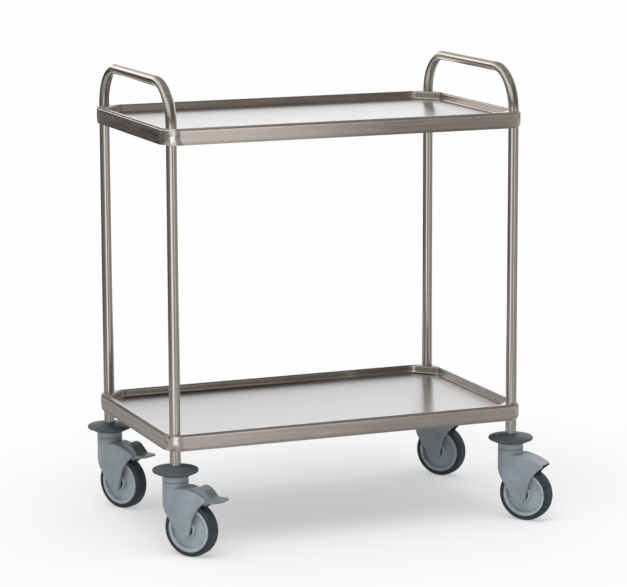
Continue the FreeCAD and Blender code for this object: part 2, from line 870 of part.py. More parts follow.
def write(nodes):
    os.makedirs("parts", exist_ok=True)
    for name, shape in nodes.items():
        print(name, "solids", len(shape.Solids), "valid", shape.isValid(), "volume %.0f" % shape.Volume)
        shape.exportStep("parts/" + name + ".step")


def castor_nodes(name):
    braked = name in braked_castors
    nodes = {
        "bumper_disc": bumper_disc(),
        "swivel_cap": swivel_cap(),
        "stem": stem(),
        "swivel_bearings": swivel_bearings(),
        "fork": fork(braked),
        "axle": axle(),
        "wheel_centre": wheel_centre(),
        "wheel_bearings": wheel_bearings(),
        "tyre": wheel_tyre(),
    }
    if braked:
        nodes["brake_pedal"] = brake_pedal()
        nodes["brake_shoe"] = brake_shoe()
        nodes["pedal_pin"] = pedal_pin()
    return {part + "_" + name: at_castor(shape, name) for part, shape in nodes.items()}


def build():
    nodes = {
        "left_end_frame": end_frame(-leg_x),
        "right_end_frame": end_frame(leg_x),
    }
    for name, rim_top in (("top", top_rim_top), ("lower", lower_rim_top)):
        nodes[name + "_shelf"] = shelf(rim_top)
        nodes[name + "_shelf_welds"] = shelf_welds(rim_top)
        nodes[name + "_shelf_stiffener"] = shelf_stiffener(rim_top)
        nodes[name + "_shelf_pads"] = shelf_pads(rim_top)
    nodes["expanders"] = Part.makeCompound([at_castor(expander(), name) for name in castor_angles])
    for name in castor_angles:
        nodes.update(castor_nodes(name))
    return nodes


write(build())
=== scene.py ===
import math

import bpy
from mathutils import Matrix, Vector

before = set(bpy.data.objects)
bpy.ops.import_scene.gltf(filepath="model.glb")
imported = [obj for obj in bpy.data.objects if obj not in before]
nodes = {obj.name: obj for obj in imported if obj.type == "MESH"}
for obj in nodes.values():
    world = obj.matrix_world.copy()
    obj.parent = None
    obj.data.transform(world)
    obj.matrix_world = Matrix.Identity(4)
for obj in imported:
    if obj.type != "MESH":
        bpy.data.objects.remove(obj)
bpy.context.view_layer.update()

MM = 0.001
WHITE = (1.0, 1.0, 1.0)

# Sizes that the finishes follow, as the CAD source has them
leg_x = 414 * MM
leg_y = 238.5 * MM
handle_height = 1052 * MM
handle_bend = 94 * MM
rim_heights = {"top_shelf": 957.5 * MM, "lower_shelf": 274.5 * MM}
half_long = 436.8 * MM
half_short = 261.3 * MM
tray_wall_inset = 12 * MM
skirt_depth = 37 * MM
axle_height = 62.5 * MM
castor_trail = 41 * MM
pocket_half = 19 * MM
pocket_radius = 66.5 * MM
castor_angles = {"front_left": -51.0, "back_left": -59.5, "front_right": -50.0, "back_right": -52.0}
braked = ("front_left", "back_left")
# the pedal's ribbed face is an arc: its middle from the swivel's axis and the floor, its radius, the angles
# of its ends, and how many ribs of what half length stand on it
rib_arc_ahead = 57.09 * MM
rib_arc_height = 119.04 * MM
rib_arc_radius = 46.79 * MM
rib_arc_low = 27.73
rib_arc_high = 54.88
rib_count = 4
rib_half_length = 16 * MM

# Camera, as the photograph was taken
camera_aim = Vector((0.0, 0.0, 0.475))
camera_yaw = 21.89
camera_pitch = 10.14
camera_roll = -0.2
camera_distance = 6.56784
camera_across = -13.75 * MM
camera_up = -47.0 * MM
camera_reach = 100.0
focal_pixels = 2804.7
picture_width = 627
sensor_width = 36.0

# Colours, as linear values
steel_colour = (0.61, 0.580, 0.54)
steel_dark = (0.53, 0.500, 0.46)
sheet_colour = (0.71, 0.650, 0.595)
sheet_dark = (0.53, 0.475, 0.425)
tray_colour = (0.82, 0.822, 0.83)
tray_dark = (0.78, 0.782, 0.79)
# painted reflection on the ground corners, in bright and brown patches
corner_bright_reflection = (0.78, 0.76, 0.72)
corner_brown_reflection = (0.46, 0.395, 0.32)
weld_colour = (0.52, 0.48, 0.43)
weld_dark = (0.36, 0.33, 0.29)
turned_colour = (0.66, 0.65, 0.64)
turned_dark = (0.52, 0.51, 0.50)
bearing_colour = (0.30, 0.31, 0.31)
housing_colour = (0.292, 0.336, 0.366)
wheel_colour = (0.410, 0.468, 0.474)
# painted shade: the dark colour put inside the forks round the wheel and in the pedal's grooves
painted_shade_colour = (0.022, 0.026, 0.029)
pedal_colour = (0.205, 0.248, 0.248)
bumper_colour = (0.070, 0.089, 0.102)
tyre_colour = (0.030, 0.040, 0.047)
dust_colour = (0.11, 0.115, 0.12)
shoe_colour = (0.020, 0.021, 0.022)
rubber_colour = (0.018, 0.018, 0.018)
pad_colour = (0.030, 0.029, 0.028)
floor_colour = (0.95, 0.95, 0.95)

# Noises: the range that their values mostly keep to, and the detail and harshness of plain ones and of
# grain. Their scales below are in waves per metre.
noise_low = 0.3
noise_high = 0.7
plain_detail = 2.0
plain_harshness = 0.5
grain_detail = 3.0
grain_harshness = 0.6
grain_depth = 0.03 * MM

# Tubes, ground round their own axis: waves in X, in Y and along the tube
tube_grain = (45.0, 45.0, 2200.0)
tube_clouds = 14.0
tube_grain_share = 0.6
tube_roughness = (0.10, 0.16)
tube_anisotropy = 0.6
brushed_strength = 0.2

# Sheets, brushed along their edges
brush_along = 14.0
brush_across = 2300.0
streak_along = 6.0
streak_across = 130.0
brush_share = 0.4
sheet_contrast = (0.34, 0.66)
sheet_anisotropy = 0.9
skin_border = (-4 * MM, -2 * MM)
wall_roughness = (0.11, 0.17)
skirt_roughness = (0.18, 0.28)
tray_roughness = (0.255, 0.275)
# how upright and how level a face is where one finish gives way to the next
end_border = 0.05
corner_border = (0.18, 0.46)
flat_border = (0.55, 0.95)
# shares of the trays' colour, a painted shade on the lower one, which looks darker in the photograph
tray_shade_shares = {"top_shelf": 1.0, "lower_shelf": 0.73}
dish_rise = 6 * MM
# the painted highlight line under the rim and the painted dark reflection at the skirt's foot, as distances
# below the rim's top and above the skirt's edge
line_start = (1 * MM, 4.5 * MM)
line_end = (6 * MM, 10 * MM)
line_gain = 0.30
foot_start = 9 * MM
foot_end = 2 * MM
foot_loss = 0.28
# the ground corners
corner_reach = 8 * MM
patch_waves = 75.0
patch_raggedness = 0.35
patch_contrast = (0.34, 0.50)
patch_depth = 0.9 * MM
patch_strength = 0.5
corner_range = (0.35, 0.7)
corner_roughness = (0.06, 0.18)

# Welds, turned steel and bearings
weld_waves = 260.0
weld_contrast = (0.35, 0.65)
weld_roughness = (0.28, 0.45)
weld_depth = 0.15 * MM
turned_grain = (120.0, 120.0, 2500.0)
turned_roughness = (0.18, 0.30)
turned_strength = 0.4
seal_inner = (7.2 * MM, 7.5 * MM)
seal_outer = (11.0 * MM, 11.3 * MM)
race_waves = 2500.0
race_roughness = 0.34
seal_roughness = 0.6

# Plastics and rubbers: an etched texture, and clouds that lead the colour down and up by these shares
etch_waves = 1400.0
etch_depth = 0.05 * MM
etch_strength = 0.5
flow_waves = 22.0
flow_shades = (0.86, 1.12)
sheen_waves = 90.0
sheen_spread = 0.06
housing_roughness = 0.44
pedal_roughness = 0.40
bumper_roughness = 0.55
bumper_depth = 0.08 * MM
shoe_roughness = 0.65
rubber_roughness = 0.6
pad_roughness = 0.75
pad_depth = 0.2 * MM
wheel_waves = 35.0
wheel_detail = 4.0
wheel_shades = (0.85, 1.12)
wheel_rings = 1500.0
wheel_ring_depth = 0.04 * MM
wheel_ring_strength = 0.4
wheel_roughness = (0.30, 0.42)
tyre_rings = 1100.0
tyre_ring_strength = 0.5
tread_border = (59.0 * MM, 62.2 * MM)
tread_dullness = 0.2
dust_waves = 70.0
dust_detail = 5.0
dust_harshness = 0.65
dust_contrast = (0.42, 0.75)
dust_share = 0.5
tyre_range = (0.3, 0.9)
tyre_roughness = (0.42, 0.68)
tyre_depth = 0.05 * MM
tyre_specular = 0.4
# painted shade inside the forks: how far past the pocket's walls it reaches, and which way its faces look
cheek_seam = (0.2 * MM, 0.5 * MM)
arch_seam = (0.4 * MM, 0.8 * MM)
cheek_facing = (0.6, 0.8)
ceiling_facing = (-0.3, -0.1)
# painted shade between the pedal's ribs
groove_range = (-0.2, 0.5)
groove_painted_shade = 0.5
arc_border = (0.48, 0.495)
face_border = (-1.5 * MM, -0.8 * MM)
rib_end_fade = 0.5 * MM


def opaque(colour):
    # what a colour socket takes: a plain colour gets full alpha
    return colour if isinstance(colour, bpy.types.NodeSocket) else (*colour, 1.0)


def scaled(colour, share):
    return tuple(part * share for part in colour)


def shades(colour, shares):
    return [scaled(colour, share) for share in shares]


class Graph:
    """A short way to write one node tree."""

    def __init__(self, tree):
        self.tree = tree

    def add(self, kind, **settings):
        made = self.tree.nodes.new(kind)
        for name, value in settings.items():
            setattr(made, name, value)
        return made

    def put(self, socket, value):
        # a socket takes a number, a colour, or another node's output
        if isinstance(value, bpy.types.NodeSocket):
            self.tree.links.new(value, socket)
        else:
            socket.default_value = value

    def math(self, operation, a, b=0.0):
        made = self.add("ShaderNodeMath", operation=operation)
        self.put(made.inputs[0], a)
        self.put(made.inputs[1], b)
        return made.outputs[0]

    def plus(self, total, *others):
        for other in others:
            total = self.math("ADD", total, other)
        return total

    def times(self, product, *others):
        for other in others:
            product = self.math("MULTIPLY", product, other)
        return product

    def minus(self, a, b):
        return self.math("SUBTRACT", a, b)

    def larger(self, a, b):
        return self.math("MAXIMUM", a, b)

    def smaller(self, a, b):
        return self.math("MINIMUM", a, b)

    def size(self, a):
        return self.math("ABSOLUTE", a)

    def weigh(self, share, a, b):
        return self.plus(self.times(a, share), self.times(b, 1 - share))

    def vector(self, operation, a, b=(0.0, 0.0, 0.0)):
        made = self.add("ShaderNodeVectorMath", operation=operation)
        self.put(made.inputs[0], a)
        self.put(made.inputs[1], b)
        return made.outputs["Value" if operation in ("DOT_PRODUCT", "LENGTH") else "Vector"]

    def split(self, vector):
        made = self.add("ShaderNodeSeparateXYZ")
        self.put(made.inputs[0], vector)
        return made.outputs[0], made.outputs[1], made.outputs[2]

    def join(self, x, y, z):
        made = self.add("ShaderNodeCombineXYZ")
        for socket, value in zip(made.inputs, (x, y, z)):
            self.put(socket, value)
        return made.outputs[0]

    def place(self):
        return self.add("ShaderNodeTexCoord").outputs["Object"]

    def normal(self):
        return self.add("ShaderNodeTexCoord").outputs["Normal"]

    def noise(self, vector, scale, detail=plain_detail, harshness=plain_harshness):
        made = self.add("ShaderNodeTexNoise")
        self.put(made.inputs["Vector"], vector)
        made.inputs["Scale"].default_value = scale
        made.inputs["Detail"].default_value = detail
        made.inputs["Roughness"].default_value = harshness
        return made.outputs["Fac"]

    def stretched(self, vector, scales, detail=plain_detail, harshness=plain_harshness):
        # noise drawn out along the axes that have small scales
        return self.noise(self.vector("MULTIPLY", vector, scales), 1.0, detail, harshness)

    def fit(self, value, low, high, to_low=0.0, to_high=1.0, smooth=False):
        kind = "SMOOTHSTEP" if smooth else "LINEAR"
        made = self.add("ShaderNodeMapRange", interpolation_type=kind)
        for socket, number in zip(made.inputs, (value, low, high, to_low, to_high)):
            self.put(socket, number)
        return made.outputs[0]

    def fade(self, value, low, high):
        # 1 up to the low end, 0 from the high end on
        return self.fit(value, low, high, 1.0, 0.0)

    def spread(self, noise, ends=(0.0, 1.0)):
        # leads a noise's usual range to two ends
        return self.fit(noise, noise_low, noise_high, *ends)

    def mix(self, factor, a, b):
        made = self.add("ShaderNodeMix", data_type="RGBA")
        self.put(made.inputs["Factor"], factor)
        for name, value in (("A", a), ("B", b)):
            socket = [s for s in made.inputs if s.name == name and s.type == "RGBA"][0]
            self.put(socket, opaque(value))
        return [s for s in made.outputs if s.type == "RGBA"][0]

    def blend(self, factor, a, b):
        made = self.add("ShaderNodeMix", data_type="FLOAT")
        self.put(made.inputs["Factor"], factor)
        for name, value in (("A", a), ("B", b)):
            socket = [s for s in made.inputs if s.name == name and s.type == "VALUE" and s.enabled][0]
            self.put(socket, value)
        return [s for s in made.outputs if s.type == "VALUE"][0]

    def bump(self, height, distance, strength=1.0, under=None):
        made = self.add("ShaderNodeBump")
        made.inputs["Strength"].default_value = strength
        made.inputs["Distance"].default_value = distance
        self.put(made.inputs["Height"], height)
        if under is not None:
            self.put(made.inputs["Normal"], under)
        return made.outputs["Normal"]

    def show(self, surface):
        # what the material's output shows, in place of what it showed before
        output = [node for node in self.tree.nodes if node.type == "OUTPUT_MATERIAL"][0]
        self.put(output.inputs["Surface"], surface)

    def show_mixed(self, factor, a, b):
        both = self.add("ShaderNodeMixShader")
        for socket, value in zip(both.inputs, (factor, a, b)):
            self.put(socket, value)
        self.show(both.outputs[0])


def new_material(name, kind="ShaderNodeBsdfPrincipled"):
    material = bpy.data.materials.new(name)
    material.use_nodes = True
    graph = Graph(material.node_tree)
    graph.tree.nodes.clear()
    graph.add("ShaderNodeOutputMaterial")
    shader = graph.add(kind)
    graph.show(shader.outputs[0])
    return material, graph, shader


def finish(graph, shader, colour, roughness, normal=None, metallic=0.0, specular=0.5):
    graph.put(shader.inputs["Base Color"], opaque(colour))
    graph.put(shader.inputs["Roughness"], roughness)
    graph.put(shader.inputs["Metallic"], metallic)
    shader.inputs["Specular IOR Level"].default_value = specular
    if normal is not None:
        graph.put(shader.inputs["Normal"], normal)


def way_along_tube(graph):
    # distance along the bent tube: up the leg, round the bend, then along the handle
    y, z = graph.split(graph.place())[1:]
    above = graph.minus(z, handle_height - handle_bend)
    inward = graph.minus(leg_y, graph.size(y))
    level = graph.larger(graph.minus(handle_bend, inward), 0.0)
    turn = graph.math("ARCTAN2", graph.larger(above, 0.0), level)
    flat = graph.larger(graph.minus(inward, handle_bend), 0.0)
    return graph.plus(graph.times(turn, handle_bend), flat, graph.smaller(above, 0.0))


def tube_direction(graph):
    # the way the tube runs at each place: the grinding marks lie across it
    y, z = graph.split(graph.place())[1:]
    above = graph.larger(graph.minus(z, handle_height - handle_bend), 0.0)
    rise = graph.larger(graph.minus(graph.size(y), leg_y - handle_bend), 0.0)
    across = graph.times(above, graph.math("SIGN", y), -1.0)
    return graph.join(0.0, across, rise)


def tube_steel():
    # ground round the tube, so the grain crosses it
    material, graph, shader = new_material("tube_steel")
    x, y = graph.split(graph.place())[:2]
    rolled_out = graph.join(x, y, way_along_tube(graph))
    grain = graph.stretched(rolled_out, tube_grain, grain_detail, grain_harshness)
    clouds = graph.noise(graph.place(), tube_clouds, grain_detail)
    mixed = graph.weigh(tube_grain_share, grain, clouds)
    colour = graph.mix(graph.spread(mixed), steel_dark, steel_colour)
    shader.inputs["Anisotropic"].default_value = tube_anisotropy
    graph.put(shader.inputs["Tangent"], tube_direction(graph))
    marks = graph.bump(grain, grain_depth, brushed_strength)
    finish(graph, shader, colour, graph.spread(grain, tube_roughness), marks, metallic=1.0)
    return material


def along_edges(graph, on_end, along, across, harshness):
    # noise drawn out along the long sides, and on the end faces along the short sides
    place = graph.place()
    sides = graph.stretched(place, (along, across, across), grain_detail, harshness)
    ends = graph.stretched(place, (across, along, across), grain_detail, harshness)
    return graph.blend(on_end, sides, ends)


def painted_rim_and_foot(graph, depth, outside):
    # a painted highlight as a bright line under the rim and a painted dark reflection at the foot, on the
    # skirt's outer face alone
    start = graph.fit(depth, *line_start, smooth=True)
    line = graph.minus(start, graph.fit(depth, *line_end, smooth=True))
    foot = graph.fit(depth, skirt_depth - foot_start, skirt_depth - foot_end, smooth=True)
    change = graph.minus(graph.times(line, line_gain), graph.times(foot, foot_loss))
    return graph.plus(graph.times(change, outside), 1.0)


def dish(graph, x, y):
    # the floor rises a little from its middle line to the walls, which keeps their mirror images short
    floor_half = half_short - tray_wall_inset
    across = graph.math("DIVIDE", y, floor_half)
    near_end = graph.larger(graph.minus(x, half_long - half_short), 0.0)
    along = graph.math("DIVIDE", near_end, floor_half)
    return graph.plus(graph.times(across, across), graph.times(along, along))


def sheet_steel(shelf):
    # brushed skirts, ground and polished corners, and a bright rolled tray floor
    material, graph, shader = new_material("sheet_steel_" + shelf)
    place = graph.place()
    x, y, z = [graph.size(part) for part in graph.split(place)]
    nx, ny, nz = [graph.size(part) for part in graph.split(graph.normal())]
    on_end = graph.fit(graph.minus(nx, graph.larger(ny, nz)), -end_border, end_border)
    grain = along_edges(graph, on_end, brush_along, brush_across, grain_harshness)
    streaks = along_edges(graph, on_end, streak_along, streak_across, plain_harshness)
    mixed = graph.weigh(brush_share, grain, streaks)
    flat = graph.fit(nz, *flat_border, smooth=True)
    skin = graph.larger(graph.minus(x, half_long), graph.minus(y, half_short))
    outside = graph.fit(skin, *skin_border)
    # the outer corners are ground smooth by hand, in patches with soft borders; their colour is a painted
    # reflection, brown and bright by turns
    beyond_legs = graph.minus(graph.plus(x, y), leg_x + leg_y)
    outer = graph.fit(beyond_legs, 0.0, corner_reach, smooth=True)
    patchy = graph.noise(place, patch_waves, harshness=grain_harshness)
    ragged = graph.times(graph.minus(patchy, 0.5), patch_raggedness)
    facing = graph.plus(graph.smaller(nx, ny), ragged)
    corner = graph.times(outer, graph.fit(facing, *corner_border, smooth=True))

    shade = graph.fit(mixed, *sheet_contrast)
    # painted highlight under the rim and painted dark reflection at the skirt's foot
    rim_and_foot_light = painted_rim_and_foot(graph, graph.minus(rim_heights[shelf], z), outside)
    brushed_colour = graph.mix(shade, sheet_dark, sheet_colour)
    skirt_colour = graph.vector("MULTIPLY", brushed_colour, graph.join(rim_and_foot_light, rim_and_foot_light, rim_and_foot_light))
    # painted shade: the lower tray's floor colour is scaled down
    tray_low, tray_high = [scaled(colour, tray_shade_shares[shelf]) for colour in (tray_dark, tray_colour)]
    colour = graph.mix(flat, skirt_colour, graph.mix(shade, tray_low, tray_high))
    # painted reflection: brown and bright patches on the corners
    patches = graph.fit(patchy, *patch_contrast, smooth=True)
    colour = graph.mix(corner, colour, graph.mix(patches, corner_brown_reflection, corner_bright_reflection))

    upright = graph.blend(outside, graph.spread(mixed, wall_roughness), graph.spread(mixed, skirt_roughness))
    roughness = graph.blend(flat, upright, graph.spread(mixed, tray_roughness))
    roughness = graph.blend(corner, roughness, graph.fit(patchy, *corner_range, *corner_roughness))

    dished = graph.bump(graph.times(dish(graph, x, y), flat), dish_rise)
    off_corner = graph.times(grain, graph.minus(1.0, corner))
    brushed = graph.bump(off_corner, grain_depth, brushed_strength, under=dished)
    ground = graph.bump(graph.times(patchy, corner), patch_depth, patch_strength, under=brushed)
    # the brushing spreads reflections across its marks: up the skirts, and over the floor's width
    shader.inputs["Anisotropic"].default_value = sheet_anisotropy
    graph.put(shader.inputs["Tangent"], graph.join(0.0, flat, graph.minus(1.0, flat)))
    finish(graph, shader, colour, roughness, ground, metallic=1.0)
    return material


def weld_steel():
    # rough beads with the colours of the heat
    material, graph, shader = new_material("weld_steel")
    heat = graph.noise(graph.place(), weld_waves)
    colour = graph.mix(graph.fit(heat, *weld_contrast), weld_dark, weld_colour)
    beads = graph.bump(heat, weld_depth, etch_strength)
    finish(graph, shader, colour, graph.spread(heat, weld_roughness), beads, metallic=1.0)
    return material


def turned_steel():
    # plain turned parts, with tool marks round the upright ones
    material, graph, shader = new_material("turned_steel")
    grain = graph.stretched(graph.place(), turned_grain)
    colour = graph.mix(grain, turned_dark, turned_colour)
    marks = graph.bump(grain, grain_depth, turned_strength)
    finish(graph, shader, colour, graph.spread(grain, turned_roughness), marks, metallic=1.0)
    return material


def castor_frame(name):
    # where the swivel's axis meets the floor, and the directions of the trail and of the axle
    turn = math.radians(castor_angles[name])
    x = leg_x if name.endswith("right") else -leg_x
    y = leg_y if name.startswith("back") else -leg_y
    return (x, y), (math.cos(turn), math.sin(turn), 0.0), (-math.sin(turn), math.cos(turn), 0.0)


def about_axle(graph, name):
    # distance from the wheel's axle, and distance to the side of the wheel's middle
    (x, y), trail, axle = castor_frame(name)
    centre = (x + castor_trail * trail[0], y + castor_trail * trail[1], axle_height)
    arm = graph.vector("SUBTRACT", graph.place(), centre)
    side = graph.vector("DOT_PRODUCT", arm, axle)
    length = graph.vector("LENGTH", arm)
    radius = graph.math("SQRT", graph.minus(graph.times(length, length), graph.times(side, side)))
    return radius, side


def inside_fork(graph, name):
    # where shade is painted inside the fork: 1 on the faces round the wheel's own space, 0 on the housing's
    # skin
    radius, side = about_axle(graph, name)
    normal = graph.normal()
    axle = castor_frame(name)[2]
    cheek = graph.fit(graph.size(graph.vector("DOT_PRODUCT", normal, axle)), *cheek_facing)
    arch = graph.fade(graph.minus(radius, pocket_radius), *arch_seam)
    ceiling = graph.fade(graph.split(normal)[2], *ceiling_facing)
    between = graph.fade(graph.minus(graph.size(side), pocket_half), *cheek_seam)
    return graph.times(between, graph.larger(graph.larger(cheek, arch), ceiling))


def between_ribs(graph, name):
    # painted shade in the grooves of the pedal's ribbed face, 0 on the ribs and everywhere else
    (x, y), trail, axle = castor_frame(name)
    arm = graph.vector("SUBTRACT", graph.place(), (x, y, rib_arc_height))
    ahead = graph.minus(graph.vector("DOT_PRODUCT", arm, trail), rib_arc_ahead)
    side = graph.size(graph.vector("DOT_PRODUCT", arm, axle))
    up = graph.split(arm)[2]
    radius = graph.math("SQRT", graph.plus(graph.times(ahead, ahead), graph.times(up, up)))
    angle = graph.math("ARCTAN2", up, ahead)
    share = graph.fit(angle, math.radians(rib_arc_low), math.radians(rib_arc_high))
    wave = graph.math("COSINE", graph.times(share, 2 * math.pi * rib_count))
    groove = graph.fit(wave, *groove_range, 0.0, groove_painted_shade)
    on_arc = graph.fade(graph.size(graph.minus(share, 0.5)), *arc_border)
    on_face = graph.fit(graph.minus(radius, rib_arc_radius), *face_border)
    on_ribs = graph.fade(side, rib_half_length, rib_half_length + rib_end_fade)
    return graph.times(groove, on_arc, on_face, on_ribs)


def moulded(name, colour, rough, texture=etch_depth, painted_shade=None, castor=None):
    # moulded plastic or rubber: a fine etched texture, slight flow clouds, and painted shade in its hollows
    material, graph, shader = new_material(name)
    place = graph.place()
    clouds = graph.spread(graph.noise(place, flow_waves, grain_detail))
    shade = graph.mix(clouds, *shades(colour, flow_shades))
    # painted shade, where a mask for it is given
    if painted_shade:
        shade = graph.mix(painted_shade(graph, castor), shade, painted_shade_colour)
    ends = (rough - sheen_spread, rough + sheen_spread)
    roughness = graph.spread(graph.noise(place, sheen_waves, grain_detail), ends)
    etched = graph.noise(place, etch_waves, harshness=grain_harshness)
    finish(graph, shader, shade, roughness, graph.bump(etched, texture, etch_strength))
    return material


def ring_marks(graph, radius, side, waves):
    # noise in rings about the wheel's axle
    return graph.stretched(graph.join(radius, side, 0.0), (waves, waves, 0.0))


def tyre_rubber(name):
    # faint moulding rings on the sides, dust and scuffs on the tread
    material, graph, shader = new_material("tyre_rubber_" + name)
    radius, side = about_axle(graph, name)
    dust = graph.noise(graph.place(), dust_waves, dust_detail, dust_harshness)
    tread = graph.fit(radius, *tread_border, smooth=True)
    dusty = graph.times(tread, graph.fit(dust, *dust_contrast), dust_share)
    colour = graph.mix(dusty, tyre_colour, dust_colour)
    dull = graph.plus(dust, graph.times(tread, tread_dullness))
    roughness = graph.fit(dull, *tyre_range, *tyre_roughness)
    rings = graph.bump(ring_marks(graph, radius, side, tyre_rings), tyre_depth, tyre_ring_strength)
    finish(graph, shader, colour, roughness, rings, specular=tyre_specular)
    return material


def wheel_plastic(name):
    # the moulded centre: tool marks in rings and slight clouds
    material, graph, shader = new_material("wheel_plastic_" + name)
    radius, side = about_axle(graph, name)
    clouds = graph.noise(graph.place(), wheel_waves, wheel_detail)
    colour = graph.mix(graph.spread(clouds), *shades(wheel_colour, wheel_shades))
    marks = ring_marks(graph, radius, side, wheel_rings)
    rings = graph.bump(marks, wheel_ring_depth, wheel_ring_strength)
    finish(graph, shader, colour, graph.spread(clouds, wheel_roughness), rings)
    return material


def bearing_steel(name):
    # polished races with a dark seal between them
    material, graph, shader = new_material("bearing_steel_" + name)
    radius = about_axle(graph, name)[0]
    seal = graph.times(graph.fit(radius, *seal_inner), graph.fade(radius, *seal_outer))
    grain = ring_marks(graph, radius, 0.0, race_waves)
    colour = graph.mix(seal, bearing_colour, rubber_colour)
    roughness = graph.blend(seal, race_roughness, seal_roughness)
    marks = graph.bump(grain, grain_depth, turned_strength)
    finish(graph, shader, colour, roughness, marks, metallic=graph.minus(1.0, seal))
    return material


def paint(node, material):
    slots = nodes[node].data.materials
    slots.clear()
    slots.append(material)


def paint_frame():
    tube = tube_steel()
    weld = weld_steel()
    pad = moulded("bitumen_pad", pad_colour, pad_roughness, pad_depth)
    paint("left_end_frame", tube)
    paint("right_end_frame", tube)
    for shelf in rim_heights:
        sheet = sheet_steel(shelf)
        paint(shelf, sheet)
        paint(shelf + "_stiffener", sheet)
        paint(shelf + "_welds", weld)
        paint(shelf + "_pads", pad)
    paint("expanders", moulded("black_rubber", rubber_colour, rubber_roughness))


def paint_castors():
    turned = turned_steel()
    housing = moulded("grey_housing", housing_colour, housing_roughness)
    bumper = moulded("bumper_rubber", bumper_colour, bumper_roughness, bumper_depth)
    shoe = moulded("shoe_rubber", shoe_colour, shoe_roughness)
    for name in castor_angles:
        fork = moulded(
            "grey_housing_" + name, housing_colour, housing_roughness, painted_shade=inside_fork, castor=name)
        paint("fork_" + name, fork)
        paint("bumper_disc_" + name, bumper)
        paint("swivel_cap_" + name, housing)
        paint("stem_" + name, turned)
        paint("swivel_bearings_" + name, turned)
        paint("axle_" + name, turned)
        paint("wheel_centre_" + name, wheel_plastic(name))
        paint("wheel_bearings_" + name, bearing_steel(name))
        paint("tyre_" + name, tyre_rubber(name))
        if name in braked:
            pedal = moulded(
                "pedal_plastic_" + name, pedal_colour, pedal_roughness, painted_shade=between_ribs, castor=name)
            paint("brake_pedal_" + name, pedal)
            paint("brake_shoe_" + name, shoe)
            paint("pedal_pin_" + name, turned)


# Studio: a pale floor, a soft lamp, and a surround, a carpet and boards that only gloss sees
floor_reach = 40.0
floor_roughness = 0.9
floor_glow_share = 0.43
lamp_strength = 1.40
lamp_angle = 50.0
lamp_turn = (18.0, 0.0, -32.0)
sky_strength = 0.62
surround_radius = 12.0
surround_height = 0.5
surround_segments = 64
carpet_height = 0.5 * MM
carpet_near = 1.6
carpet_far = 3.0
carpet_shade = 0.41
# brighter places on the carpet: where, how far they reach, and how much they add
carpet_glows = [
    ((-0.15, -1.5, 0.0), 0.6, 0.8),
    ((-1.2, -1.05, 0.0), 0.5, 0.85),
    ((1.0, -1.5, 0.0), 0.6, 0.16),
]
# a soft light beside the camera: where it stands, and where in its half width and half height it fades
strip_distance = 1.67
strip_direction = -138.0
strip_width = 1.35
strip_height = 1.15
strip_brightness = 1.3
strip_side_fade = (0.1, 0.5)
strip_top_fade = (0.25, 0.5)
# dark boards, one standing at the back and one lying before it: middle, width, length and tilt
flags = [
    ((-2.05, 4.0, 0.72), 1.2, 1.44, 90.0),
    ((-1.75, 3.1, 2 * carpet_height), 1.8, 1.8, 0.0),
]
flag_shade = 0.04
beige = (1.04, 1.0, 0.94)
# the surround's shades by height, as the sine of the elevation: direction in degrees from +Y towards +X,
# and how bright it is there
surround_levels = [
    (0.0, [(-180, 0.38), (-165, 0.42), (-110, 0.25), (-90, 0.18), (-50, 0.15), (-30, 0.2), (-22, 0.5),
           (-10, 0.9), (0, 1.7), (50, 1.7), (78, 0.45), (100, 0.33), (128, 0.38), (148, 0.48), (151, 0.42),
           (155, 0.2), (157.5, 0.36), (159.5, 0.85), (163, 1.05), (167.5, 1.25), (169, 1.1), (172, 0.25)]),
    (0.12, [(-180, 0.2), (-150, 0.3), (-135, 0.3), (-110, 0.15), (-60, 0.12), (-25, 0.2), (-14, 0.5),
            (-6, 1.3), (0, 2.0), (36, 2.0), (70, 0.5), (110, 0.3), (150, 0.1), (157, 0.12), (161, 0.35),
            (166, 0.6)]),
    (0.23, [(-180, 0.15), (-150, 0.3), (-110, 0.2), (-60, 0.4), (-40, 0.6), (-26, 1.5), (-14, 1.6), (-6, 1.2),
            (8, 1.2), (20, 1.5), (36, 1.5), (70, 0.5), (110, 0.25), (150, 0.12), (165, 0.3)]),
    (0.33, [(-180, 0.15), (-150, 0.6), (-110, 0.6), (-60, 0.6), (-24, 1.5), (-12, 1.6), (-5, 0.8), (8, 0.6),
            (18, 1.3), (50, 1.3), (90, 0.35), (150, 0.12)]),
    (0.46, [(-180, 0.15), (-150, 0.8), (-60, 1.0), (-35, 0.8), (-10, 0.5), (8, 0.5), (20, 1.1), (50, 1.1),
            (90, 0.3), (150, 0.12)]),
    (0.72, [(-180, 0.15), (-150, 0.7), (-120, 1.0), (-50, 1.0), (-20, 0.3), (0, 0.25), (50, 0.4), (100, 0.2),
            (150, 0.12)]),
    (0.86, [(-180, 0.3)]),
]


def seen_directly(graph):
    # 1 for what the camera sees, also by way of metal or glass
    light = graph.add("ShaderNodeLightPath")
    seen = graph.larger(light.outputs["Is Camera Ray"], light.outputs["Is Glossy Ray"])
    return graph.larger(seen, light.outputs["Is Transmission Ray"])


def make_world():
    world = bpy.data.worlds.new("studio")
    bpy.context.scene.world = world
    world.use_nodes = True
    graph = Graph(world.node_tree)
    graph.tree.nodes.clear()
    background = graph.add("ShaderNodeBackground")
    background.inputs["Color"].default_value = opaque(WHITE)
    graph.put(background.inputs["Strength"], graph.blend(seen_directly(graph), sky_strength, 1.0))
    graph.put(graph.add("ShaderNodeOutputWorld").inputs["Surface"], background.outputs[0])


